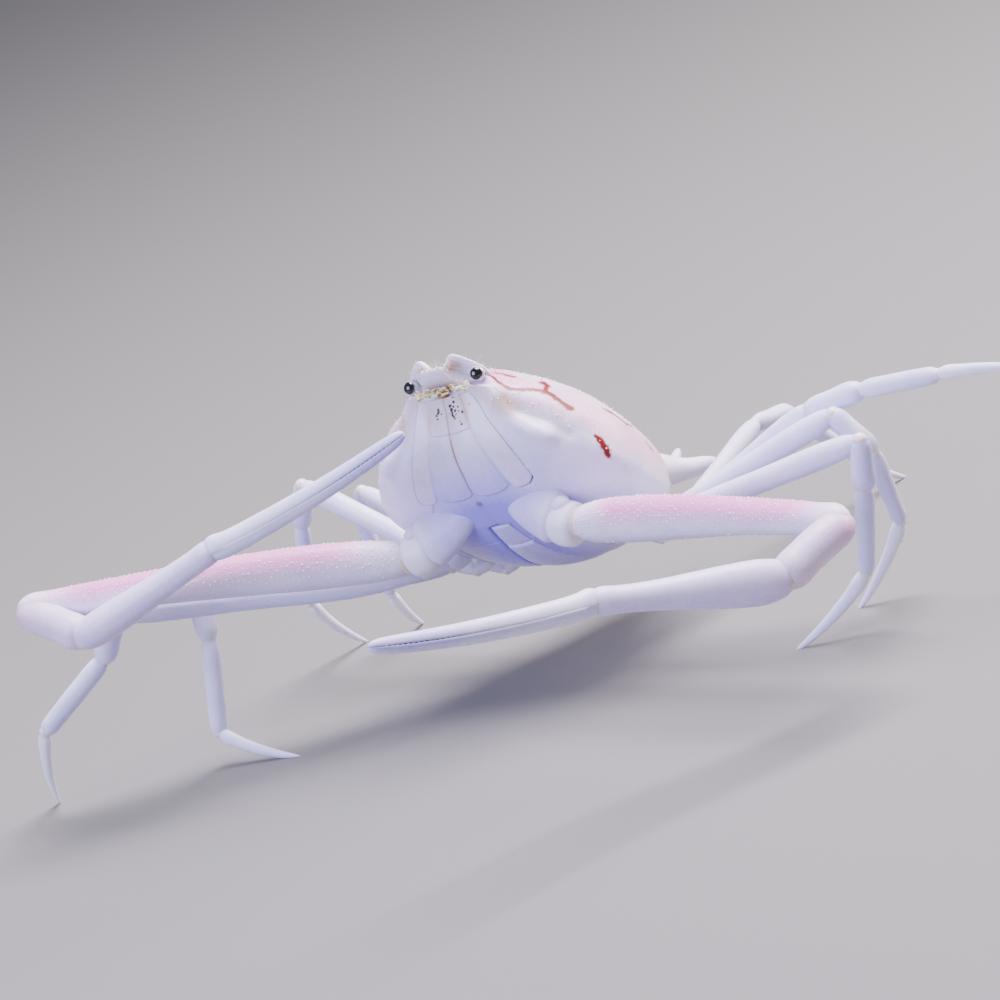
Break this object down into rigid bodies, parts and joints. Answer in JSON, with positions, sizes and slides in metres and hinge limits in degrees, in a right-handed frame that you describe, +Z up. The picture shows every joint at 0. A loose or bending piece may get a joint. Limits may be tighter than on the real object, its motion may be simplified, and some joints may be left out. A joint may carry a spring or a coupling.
{
  "type": "pebble crab",
  "caption": "Life-size still pebble crab with an egg-shaped grainy shell, very long slender claws and thin walking legs, standing with its front raised.",
  "frame": {"origin": "on the floor under the middle of the whole animal's bounding box", "axes": "the animal faces -Y, its left side is towards +X, and +Z is up from the floor its leg tips rest on"},
  "size_m": [0.0996, 0.0914, 0.0306],
  "materials": {
    "shell": "porcelain white shell with fine grains and a satin gloss",
    "underside": "white shell plates with a satin gloss",
    "eyes": "wet glossy black",
    "claw_arms": "pink flush under pearly white grains, satin gloss",
    "claw_hands": "smooth white shell with a satin gloss",
    "legs": "smooth white shell, a little translucent towards the tips"
  },
  "bodies": {
    "root": {"carapace": "shell", "sternum": "underside", "abdomen": "underside", "maxilliped_left": "underside", "maxilliped_right": "underside", "eye_left": "eyes", "eye_right": "eyes", "claw_left_base": "claw_arms", "claw_left_merus": "claw_arms", "claw_left_carpus": "claw_hands", "claw_left_propodus": "claw_hands", "claw_left_dactylus": "claw_hands", "claw_right_base": "claw_arms", "claw_right_merus": "claw_arms", "claw_right_carpus": "claw_hands", "claw_right_propodus": "claw_hands", "claw_right_dactylus": "claw_hands", "leg1_left_base": "legs", "leg1_left_merus": "legs", "leg1_left_carpus": "legs", "leg1_left_propodus": "legs", "leg1_left_dactylus": "legs", "leg1_right_base": "legs", "leg1_right_merus": "legs", "leg1_right_carpus": "legs", "leg1_right_propodus": "legs", "leg1_right_dactylus": "legs", "leg2_left_base": "legs", "leg2_left_merus": "legs", "leg2_left_carpus": "legs", "leg2_left_propodus": "legs", "leg2_left_dactylus": "legs", "leg2_right_base": "legs", "leg2_right_merus": "legs", "leg2_right_carpus": "legs", "leg2_right_propodus": "legs", "leg2_right_dactylus": "legs", "leg3_left_base": "legs", "leg3_left_merus": "legs", "leg3_left_carpus": "legs", "leg3_left_propodus": "legs", "leg3_left_dactylus": "legs", "leg3_right_base": "legs", "leg3_right_merus": "legs", "leg3_right_carpus": "legs", "leg3_right_propodus": "legs", "leg3_right_dactylus": "legs", "leg4_left_base": "legs", "leg4_left_merus": "legs", "leg4_left_carpus": "legs", "leg4_left_propodus": "legs", "leg4_left_dactylus": "legs", "leg4_right_base": "legs", "leg4_right_merus": "legs", "leg4_right_carpus": "legs", "leg4_right_propodus": "legs", "leg4_right_dactylus": "legs"}
  },
  "joints": []
}
